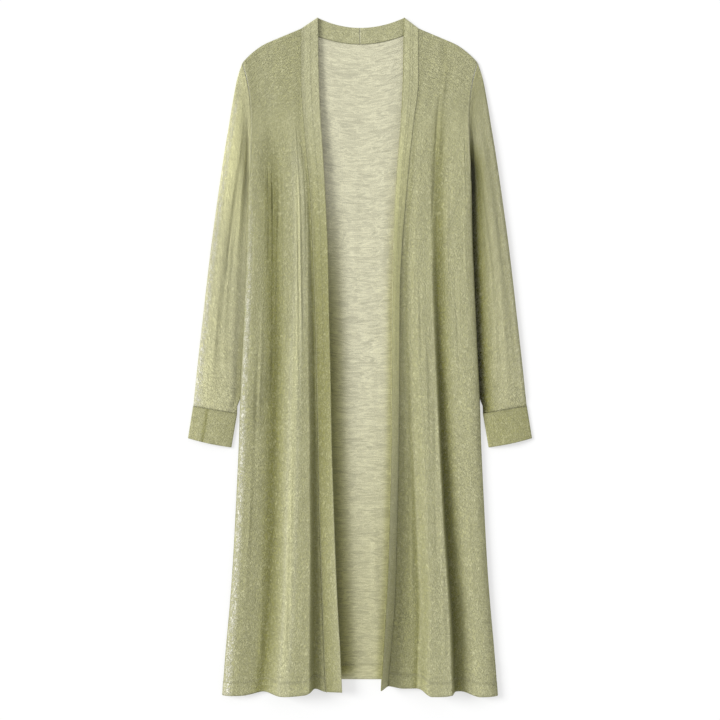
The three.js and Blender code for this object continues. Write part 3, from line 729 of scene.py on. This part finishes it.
def makeBack():
    values = backValues
    tall = cut["shoulderUp"] - cut["backHemUp"]
    hemRise = cut["hemDeep"] / tall
    share = np.linspace(-1, 1, values["columns"] + 1)[None, :]
    rise = hemRows(np.linspace(0, 1, values["rows"]), hemRise)
    topHalf = np.abs(share) * cut["shoulderHalf"]
    neckSeam = cut["neckUp"] - cut["neckDrop"] * (1 - (topHalf / cut["neckHalf"]) ** 2)
    topUp = np.where(topHalf < cut["neckHalf"], neckSeam, shoulderLine(topHalf)) - cut["seamGap"] * 2
    up = mix(cut["backHemUp"], topUp, rise)
    half = halfWidth(up)
    across = share * half
    inHem = (rise <= hemRise) + 0.0 * share
    thick = mix(cut["knitThick"], cut["doubleThick"], inHem)
    lift = liftAt(up, half * (1 - np.abs(share)))
    crease = np.maximum(creaseHeight(backCreases, (share + 1) / 2, up, values["creaseWide"]), 0)
    waves = np.sin(up / values["rippleLong"] + 3 * np.sin(share * 9) + 2 * np.sin(up / 57))
    ripple = values["ripple"] * (1 + waves * np.sin(share * 11 + up / 33))
    shown = ease((values["shownHalf"] - np.abs(across)) / 14)
    shown = shown * ease((up - 60) / 40) * ease((1070 - up) / 30)
    grid = np.stack([across, up, thick / 2 + lift + (crease + ripple) * shown], -1)

    # Painted shade: darker towards the hem, where the raised fronts shut out light, and a painted shadow
    # beside each band, where the front's cloth lies close
    paintedShade = values["lowShade"] * ease((620 - up) / 560)
    strength, wide = values["shadowBesideRight"]
    shadowBesideRight = strength * bell(across + trace(rightEdges, "edge", up), wide)
    paintedShade = paintedShade + shadowBesideRight * ease((860 - up) / 330) * ease((up - 30) / 20)
    strength, wide = values["shadowBesideLeft"]
    shadowBesideLeft = strength * bell(trace(leftEdges, "edge", up) - across, wide)
    paintedShade = paintedShade + shadowBesideLeft * ease((900 - up) / 300)
    marks = {"cross": 1.0, "paintedShade": paintedShade, "double": inHem, "turn": 0.0}
    marks["seam"] = bell((rise - hemRise) * tall, values["hemLine"])
    upward = np.zeros_like(grid)
    upward[..., 2] = 1
    piece, top = shell("backCloth", grid, thick, marks, normal=upward)
    finishPiece(piece, "back_panel", "back")
    return top[nearestRow(rise, hemRise)]


print("making the back")
backHem = makeBack()

# What differs between the two sides: base is the painted shade over a whole front, glint how much painted
# highlight of pale crepe shows along a side fold,
#  crevice the painted shadow of the body on a sleeve, and the sleeve's shade values its painted shade below
#  and at its top, where negative values paint light
halves = {
    "right": {
        "side": -1, "edges": rightEdges, "folds": rightFolds, "hem": rightHem,
        "creases": rightCreases, "paintedShades": rightPaintedShade, "baseShade": 0.15, "glint": 1.0,
        "bandLines": (0.14, 0.55), "bandEdgeShade": (0, 0),
        "sleeve": {"glint": 1.0, "reach": 14, "paintedShadow": 0.22, "shadowBelow": (700, 160),
                   "paintedShade": -0.18, "paintedShadeTop": -0.25},
        "cuff": {"paintedShade": 0.16, "crease": 0.5},
    },
    "left": {
        "side": 1, "edges": leftEdges, "folds": leftFolds, "hem": leftHem,
        "creases": leftCreases, "paintedShades": leftPaintedShade, "baseShade": 0.09, "glint": 0.0,
        "bandLines": (0.40, 0.56), "bandEdgeShade": (0.25, 0.75),
        "sleeve": {"glint": 0.15, "reach": 11, "paintedShadow": 2.8, "shadowBelow": (920, 60),
                   "paintedShade": 0.05, "paintedShadeTop": 0.0},
        "cuff": {"paintedShade": 0.30, "crease": 0.0},
    },
}

bandValues = {
    "columns": 24,
    "wide": 27,
    "neckRows": 40,
    "turnRows": (0.04, 0.13, 0.3, 0.6, 1.0),
    "neckShade": 0.05,
    "linesFrom": (480, 60),
    "seamLine": 1.6,
    "lineWide": 1.1,
    "unsewnRows": 6,
    "centreGap": 0.15,
}


def backNeckPoints(half, share, across):
    tip = trace(half["edges"], "edge", cut["bandTipUp"])
    seamHalf, edgeHalf = cut["neckHalf"] * (1 - share), tip * (1 - share)
    seamUp = cut["neckUp"] - cut["neckDrop"] * (1 - (seamHalf / cut["neckHalf"]) ** 2)
    edgeUp = cut["bandTipUp"] - cut["bandDrop"] * (1 - (edgeHalf / tip) ** 2)
    wide, up = mix(seamHalf, edgeHalf, across), mix(seamUp, edgeUp, across)
    return np.stack([half["side"] * wide, up, np.full(wide.shape, cut["doubleThick"] / 2)], -1)


# The band goes on from the front's own sheet, turns at the shoulder and runs to the centre back
def makeBand(name, half, band, rise, sideUp, normal, paintedShade):
    values = bandValues
    count = len(rise)
    turnShare = cut["bandTurn"] / cut["neckUp"]
    frontZ = band[nearestRow(rise, 1 - turnShare)][:, 2]
    halfway = (frontZ + cut["doubleThick"] / 2) / 2
    toCrease = (1 - rise[:, 0]) / turnShare
    turning = toCrease < 1
    band[turning, :, 2] = mix(halfway, frontZ, rounded(toCrease[turning])[:, None])
    across = np.linspace(0, 1, values["columns"])[None, :]
    turnEnd = cut["bandTurn"] / cut["neckHalf"]
    turnRows = np.array(values["turnRows"]) * turnEnd
    neckRows = np.linspace(turnEnd, 1, values["neckRows"])[1:]
    neckShare = np.concatenate([turnRows, neckRows])[:, None]
    neck = backNeckPoints(half, neckShare, across)
    neck[..., 2] = mix(halfway, cut["doubleThick"] / 2, rounded(neckShare / turnEnd))
    neck[-1, :, 0] = half["side"] * values["centreGap"]
    grid = np.concatenate([band, neck])
    gridNormal = normalsOf(grid)
    keep = rise[:, 0] < 1 - turnShare
    gridNormal[:count][keep] = normal[keep]
    # Painted shade on the band: a little over the back neck, and darker along the left band's free edge
    gridShade = np.concatenate([paintedShade, np.full((len(neck), values["columns"]), values["neckShade"])])
    gridShade[:count, 0] = gridShade[:count, 1]
    gridShade[:count, -2:] += half["bandEdgeShade"]
    low, ramp = values["linesFrom"]
    onUpper = np.concatenate([ease((sideUp - low) / ramp), 0.0 * neckShare])
    lines = bell(across * values["wide"], values["seamLine"]) + 0.0 * onUpper
    for place in half["bandLines"]:
        lines = lines + bell((across - place) * values["wide"], values["lineWide"]) * onUpper
    marks = {"paintedShade": gridShade, "double": 1.0, "turn": 0.0, "cross": 0.0, "seam": lines}
    piece, top = shell("bandCloth" + name.title(), grid, cut["doubleThick"], marks, normal=gridNormal)
    finishPiece(piece, "band_" + name, "double")
    stitchPaths.append(top[:count - values["unsewnRows"], 1])
    stitchPaths.append(top[count + values["unsewnRows"]:, 1])


def makeFront(name, half):
    values = frontValues
    turnShare = cut["bandTurn"] / cut["neckUp"]
    hemRise = cut["hemDeep"] / cut["neckUp"]
    sideShares = np.linspace(0, values["sidePart"], values["sideColumns"])[:-1]
    shares = np.concatenate([sideShares, np.linspace(values["sidePart"], 1, values["columns"])])
    bandShares = np.linspace(1, 2, bandValues["columns"])[1:]
    share = np.concatenate([shares, bandShares])[None, :]
    turnRows = 1 - turnShare * np.array(values["turnRows"])
    mainRows = np.linspace(0, 1 - turnShare, values["rows"])
    rise = hemRows(np.concatenate([mainRows, turnRows]), hemRise)
    sheet, up = frontPoints(half, share, rise)
    normal = normalsOf(sheet)
    paintedShade = paintedShading(half, share, up, np.abs(normal[..., 2]))
    seam = len(shares) - 1
    front, frontUp = sheet[:, :seam + 1].copy(), up[:, :seam + 1]
    front[:, seam, 0] += half["side"] * cut["seamGap"]
    inHem = (rise <= hemRise) + 0.0 * shares
    thick = mix(cut["knitThick"], cut["doubleThick"], inHem)
    wide = values["clothWide"]
    (glintTop, glintRamp), (crossLow, crossRamp) = values["glintBelow"], values["crossFrom"]
    # Painted highlight of pale crepe along the side fold
    glint = half["glint"] * bell((shares - values["glintAt"]) * wide, values["glintWide"])
    seamLine = bell((1 - shares) * wide, values["seamLine"])
    hemLine = bell((rise - hemRise) * cut["neckUp"], values["hemLine"])
    marks = {
        "paintedShade": paintedShade[:, :seam + 1],
        "double": inHem,
        "turn": glint * ease((glintTop - frontUp) / glintRamp),
        "cross": ease((frontUp - crossLow) / crossRamp),
        "seam": np.clip(seamLine + hemLine, 0, 1),
    }
    frontNormal = normal[:, :seam + 1]
    piece, top = shell("frontCloth" + name.title(), front, thick, marks, normal=frontNormal)
    finishPiece(piece, "front_" + name, "front")
    stitchPaths.append(top[nearestRow(rise, hemRise)])
    makeBand(name, half, sheet[:, seam:].copy(), rise, up[:, :1], normal[:, seam:], paintedShade[:, seam:])


print("making the fronts and bands")
for name, half in halves.items():
    makeFront(name, half)


sleeveValues = {
    "rows": 130,
    "columns": 27,
    "tuckedColumns": 6,
    "tuckFrom": 0.4,
    "open": (0.4, 0.92),
    "atArmhole": (0.03, 0.22),     # share of the puff at the armhole, and where along it is whole
    "atCuff": (0.75, 0.8),         # share of the puff at the cuff, and where along it starts to fall
    "joined": 0.06,
    "armholePoints": 60,
    "creaseWide": 68,
    "hollow": 0.2,
    "glintAt": 0.07,
    "glintWide": 6,
}


def between(a, b, t):
    return mix(a[0], b[0], t), mix(a[1], b[1], t)


def besideArmhole(up):
    return halfWidth(up) + cut["armholeGap"], up


# Half width and up of the sleeve's plan: across 0 is its outer edge, along 0 the armhole
def sleevePlan(across, along):
    tip, armpit = besideArmhole(cut["shoulderUp"]), besideArmhole(cut["armpitUp"])
    armhole = besideArmhole(mix(tip[1], armpit[1], across))
    cuffLine = between(cuffSeam["outer"], cuffSeam["inner"], across)
    outerUp = mix(tip[1], cuffSeam["outer"][1], along)
    outer = (trace(sleeveEdgeRows, "half", outerUp), outerUp)
    innerUp = mix(armpit[1], cuffSeam["inner"][1], along)
    fromBody = cuffSeam["inner"][0] - halfWidth(cuffSeam["inner"][1])
    inner = (halfWidth(innerUp) + mix(cut["armholeGap"], fromBody, ease(along)), innerUp)
    sides = between(outer, inner, across)
    ends = between(armhole, cuffLine, along)
    corners = between(between(tip, armpit, across), cuffLine, along)
    up = sides[1] + ends[1] - corners[1]
    tuckFrom = sleeveValues["tuckFrom"]
    tucked = trace(tuckRows, "tuck", up) * ease((across - tuckFrom) / (1 - tuckFrom))
    return sides[0] + ends[0] - corners[0] - tucked, up


# How far across the sleeve is still clear of the body's edge, found by halving
def besideBody(along):
    clear, near = np.zeros_like(along), np.ones_like(along)
    for _ in range(20):
        middle = (clear + near) / 2
        half, up = sleevePlan(middle, along)
        isClear = half - halfWidth(up) > cut["puffClear"]
        clear, near = np.where(isClear, middle, clear), np.where(isClear, near, middle)
    return clear


bendAngles = np.array([0.35, 0.8, 1.25, 1.9, 2.35, 2.8])


# Shares across and heights round a flattened tube, from inner fold under to outer and back over
def ringOf(shares, width, thick, highAt):
    radius = cut["sleeveFlat"] / 2
    turn = radius / width
    low = thick / 2
    flat = turn + shares * (1 - 2 * turn)
    bendShare = turn * (1 - np.sin(bendAngles))
    bendZ = low + radius * (1 - np.cos(bendAngles)) + 0 * turn
    under = flat[:, ::-1]
    share = np.concatenate([under, bendShare, flat, 1 - bendShare[:, ::-1]], axis=1)
    over = low + cut["sleeveFlat"] + highAt(flat)
    z = np.concatenate([0 * under + low, bendZ, over, bendZ[:, ::-1]], axis=1)
    return share, z


def makeSleeve(name, half):
    values, own, side = sleeveValues, half["sleeve"], half["side"]
    along = np.linspace(0.0005, 0.9998, values["rows"])[:, None]
    a, b = sleevePlan(0 * along, along), sleevePlan(0 * along + 1, along)
    width = np.hypot(a[0] - b[0], a[1] - b[1])
    (least, grown), (atCuff, falls) = values["atArmhole"], values["atCuff"]
    puff = cut["sleevePuff"] * mix(least, 1, ease(along / grown))
    puff = puff * mix(1, atCuff, ease((along - falls) / (1 - falls)))
    opening = np.clip(besideBody(along), *values["open"])
    points = list(zip(sleeveFolds["at"], sleeveFolds["high"]))

    # At the armhole the sleeve starts as high as the body's edge
    places = np.linspace(0, 1, values["armholePoints"])
    armholeUp = mix(cut["shoulderUp"], cut["armpitUp"], places)
    bodyHigh = cut["sewnHigh"] * trace(half["folds"], "roll", armholeUp) + liftAt(armholeUp, 0)
    bodyHigh = np.maximum((bodyHigh - cut["sleeveFlat"] + 1.5) * ease(places / 0.1), 0)

    def highAt(share):
        beside = np.clip(share / opening, 0, 1)
        fade = ease(beside / 0.1) * ease((1 - beside) / 0.1)
        crease = creaseHeight(sleeveCreases, beside, along, values["creaseWide"]) * fade
        high = np.maximum(puff * heightBetween(points, beside) + crease, 0)
        high = mix(np.interp(share, places, bodyHigh), high, ease(along / values["joined"]))
        cuffHigh = cut["cuffEase"] * np.sin(math.pi * np.clip(share, 0, 1))
        return mix(high, cuffHigh, ease((along - 0.96) / 0.04))

    shown = np.linspace(0, 1, values["columns"])[None, :] * opening
    tucked = mix(opening, 1, np.linspace(0, 1, values["tuckedColumns"])[None, 1:])
    share, z = ringOf(np.concatenate([shown, tucked], axis=1), width, cut["knitThick"], highAt)
    wide, up = sleevePlan(share, along)
    grid = np.stack([side * wide, up, z], -1)
    above = z - cut["sleeveFlat"]
    # Painted highlight of pale crepe along the sleeve's outer fold
    turn = own["glint"] * (above > 0) * ease(along / 0.15)
    turn = turn * bell((share - values["glintAt"]) * width, values["glintWide"])
    # Painted shadow of the body's edge on the sleeve, painted shade where the sleeve lies low, and a painted
    # shade or light over the whole sleeve
    below, ramp = own["shadowBelow"]
    fromBody = np.maximum(0, wide - halfWidth(up))
    paintedShadow = own["paintedShadow"] * np.exp(-(fromBody / own["reach"]) ** 1.5) * ease((below - up) / ramp)
    hollow = np.where(above > 0, values["hollow"] * np.exp(-np.maximum(above, 0) / 3), 0)
    whole = own["paintedShade"] + own["paintedShadeTop"] * (1 - ease((along - 0.25) / 0.3))
    marks = {"paintedShade": paintedShadow + hollow + whole, "double": 0.0, "turn": turn, "cross": 0.0, "seam": 0.0}
    piece, _ = shell("sleeveCloth" + name.title(), grid, cut["knitThick"], marks, closed=True)
    finishPiece(piece, "sleeve_" + name, "sleeve")


cuffValues = {
    "rows": 26,
    "columns": 28,
    "long": 58,
    "soft": 0.5,
    "bow": 1.2,
    "creaseAt": 0.33,
    "creaseWide": 2.2,
    "seamLine": 1.6,
    "sewnRows": (2, 22),
}


def makeCuff(name, half):
    values, own, side = cuffValues, half["cuff"], half["side"]
    along = np.linspace(0.001, 1, values["rows"])[:, None]
    (outerEnd, outerUp), (innerEnd, innerUp) = cuffEnd["outer"], cuffEnd["inner"]
    width = math.hypot(outerEnd - innerEnd, outerUp - innerUp)
    shares = np.linspace(0, 1, values["columns"])[None, :] + 0 * along

    def highAt(share):
        soft = values["soft"] * np.sin(share * 13 + along * 2) * np.sin(along * 5 + share * 4)
        return (cut["cuffEase"] + soft) * np.sin(math.pi * share)

    share, z = ringOf(shares, np.full(along.shape, width), cut["doubleThick"], highAt)
    outer = between(cuffSeam["outer"], cuffEnd["outer"], along)
    inner = between(cuffSeam["inner"], cuffEnd["inner"], along)
    wide, up = between(outer, inner, share)
    bow = values["bow"] * np.sin(math.pi * share) * along
    grid = np.stack([side * wide, up - bow, z], -1)
    # Painted shade: a dark crease line on the cuff, and the whole cuff darker on the side away from the light
    crease = own["crease"] * bell((share - values["creaseAt"]) * width, values["creaseWide"])
    marks = {"cross": 0.0, "paintedShade": own["paintedShade"] + crease, "double": 1.0, "turn": 0.0}
    marks["seam"] = bell(along * values["long"], values["seamLine"]) + 0 * share
    piece, top = shell("cuffCloth" + name.title(), grid, cut["doubleThick"], marks, closed=True)
    finishPiece(piece, "cuff_" + name, "double")
    first = values["columns"] + len(bendAngles)
    for row in values["sewnRows"]:
        stitchPaths.append(top[row, first + 1:first + values["columns"] - 1])


print("making the sleeves and cuffs")
for name, half in halves.items():
    makeSleeve(name, half)
    makeCuff(name, half)


# The sewing: short threads along the seams and hems, made by one tree of geometry nodes

# Spacing, thread and length are in metres, the rest in millimetres and shares of the front
sewing = {
    "spacing": 0.0034,
    "thread": 0.00032,
    "length": 0.0023,
    "sides": 6,
    "above": 0.1,
    "overSeam": 0.45,
    "points": 60,
    "shoulder": (0.03, 0.97),
    "shoulderRise": 1 - 7 / 1080,
    "armhole": (0.79, 0.975),
    "armholeIn": 0.022,
}


def stitchTree():
    tree = bpy.data.node_groups.new("stitchLine", "GeometryNodeTree")
    sockets = [("Path", "INPUT", "Geometry"), ("Spacing", "INPUT", "Float"), ("Thread", "INPUT", "Float"),
               ("Length", "INPUT", "Float"), ("Look", "INPUT", "Material"), ("Threads", "OUTPUT", "Geometry")]
    for name, way, kind in sockets:
        tree.interface.new_socket(name=name, in_out=way, socket_type="NodeSocket" + kind)
    new, join = tree.nodes.new, tree.links.new
    given, made = new("NodeGroupInput").outputs, new("NodeGroupOutput").inputs
    curve = new("GeometryNodeMeshToCurve")
    resample = new("GeometryNodeResampleCurve")
    resample.mode = "LENGTH"
    thread = new("GeometryNodeMeshCylinder")
    thread.inputs["Vertices"].default_value = sewing["sides"]
    place = new("GeometryNodeInstanceOnPoints")
    along = new("FunctionNodeAlignRotationToVector")
    solid = new("GeometryNodeRealizeInstances")
    look = new("GeometryNodeSetMaterial")
    join(given["Path"], curve.inputs["Mesh"])
    join(curve.outputs["Curve"], resample.inputs["Curve"])
    join(given["Spacing"], resample.inputs["Length"])
    join(given["Thread"], thread.inputs["Radius"])
    join(given["Length"], thread.inputs["Depth"])
    join(new("GeometryNodeInputTangent").outputs[0], along.inputs["Vector"])
    join(resample.outputs["Curve"], place.inputs["Points"])
    join(thread.outputs["Mesh"], place.inputs["Instance"])
    join(along.outputs["Rotation"], place.inputs["Rotation"])
    join(place.outputs["Instances"], solid.inputs[0])
    join(solid.outputs[0], look.inputs["Geometry"])
    join(given["Look"], look.inputs["Material"])
    join(look.outputs["Geometry"], made["Threads"])
    return tree


def threadMaterial():
    material, tree, shader = newMaterial("sewingThread")
    where = tree.nodes.new("ShaderNodeTexCoord")
    twist = noise(tree, where.outputs["Object"], (1, 1, 1), 1500, 2, 0.6)
    tone = tree.nodes.new("ShaderNodeMix")
    tone.data_type = "RGBA"
    plug(tree, tone.inputs[0], twist)
    tone.inputs[6].default_value = (0.32, 0.315, 0.17, 1)
    tone.inputs[7].default_value = (0.50, 0.49, 0.30, 1)
    tree.links.new(tone.outputs[2], shader.inputs["Base Color"])
    shader.inputs["Roughness"].default_value = 0.7
    return material


def sew(name, paths, tree, look):
    points, edges = [], []
    for path in paths:
        first = len(points)
        points += ((path + (0, shiftUp, sewing["above"])) / 1000).tolist()
        edges += [(i, i + 1) for i in range(first, len(points) - 1)]
    mesh = bpy.data.meshes.new(name + "Path")
    mesh.from_pydata(points, edges, [])
    line = addObject(name + "Path", mesh)
    nodes = line.modifiers.new("stitches", "NODES")
    nodes.node_group = tree
    sockets = tree.interface.items_tree
    socket = {item.name: item.identifier for item in sockets if item.in_out == "INPUT"}
    for size in ("spacing", "thread", "length"):
        nodes[socket[size.title()]] = sewing[size]
    nodes[socket["Look"]] = look
    ready = line.evaluated_get(bpy.context.evaluated_depsgraph_get())
    threadMesh = bpy.data.meshes.new_from_object(ready)
    bpy.data.objects.remove(line)
    threads = addObject(name, threadMesh)
    if not threads.data.materials:
        threads.data.materials.append(look)
    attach(threads, "root")
    return threads


print("sewing")
for half in halves.values():
    shoulder = np.linspace(*sewing["shoulder"], sewing["points"])
    armhole = np.linspace(*sewing["armhole"], sewing["points"])
    onShoulder, _ = frontPoints(half, shoulder, sewing["shoulderRise"] + 0 * shoulder)
    onArmhole, _ = frontPoints(half, sewing["armholeIn"] + 0 * armhole, armhole)
    stitchPaths += [path + (0, 0, sewing["overSeam"]) for path in (onShoulder, onArmhole)]
stitchPaths.append(backHem)
stitches = sew("stitches", stitchPaths, stitchTree(), threadMaterial())
print("stitch triangles", sum(len(face.vertices) - 2 for face in stitches.data.polygons))


# The surface, the light and the camera

print("making the light and the camera")
surface = {"reach": 4.0, "down": 0.0002, "white": 0.43, "glow": 0.5}
floorMesh = bpy.data.meshes.new("floor")
corners = [(x * surface["reach"], y * surface["reach"], -surface["down"])
           for x, y in ((-1, -1), (1, -1), (1, 1), (-1, 1))]
floorMesh.from_pydata(corners, [], [(0, 1, 2, 3)])
floor = addObject("floor", floorMesh)
white, _, whiteShader = newMaterial("whiteSurface")
whiteShader.inputs["Base Color"].default_value = (*[surface["white"]] * 3, 1)
whiteShader.inputs["Emission Color"].default_value = (1, 1, 1, 1)
whiteShader.inputs["Emission Strength"].default_value = surface["glow"]
whiteShader.inputs["Roughness"].default_value = 1.0
whiteShader.inputs["Specular IOR Level"].default_value = 0.0
floor.data.materials.append(white)

light = {"sun": 2.75, "sunAngle": 26, "rise": 32, "from": 162, "sky": 0.74}
sunData = bpy.data.lights.new("keyLight", "SUN")
sunData.energy = light["sun"]
sunData.angle = math.radians(light["sunAngle"])
sun = addObject("keyLight", sunData)
sun.rotation_euler = (math.radians(90 - light["rise"]), 0, math.radians(light["from"] + 90))

world = bpy.data.worlds.new("softSky")
world.use_nodes = True
world.node_tree.nodes["Background"].inputs["Color"].default_value = (1, 1, 1, 1)
world.node_tree.nodes["Background"].inputs["Strength"].default_value = light["sky"]
bpy.context.scene.world = world

view = {"height": 2.3, "lens": 69.7, "sensor": 36, "centreUp": 556}
cameraData = bpy.data.cameras.new("camera")
cameraData.lens = view["lens"]
cameraData.sensor_width = view["sensor"]
camera = addObject("camera", cameraData)
camera.location = (0, (view["centreUp"] + shiftUp) / 1000, view["height"])
bpy.context.scene.camera = camera

scene = bpy.context.scene
scene.view_settings.view_transform = "Standard"
scene.view_settings.look = "None"
scene.cycles.transparent_max_bounces = 24
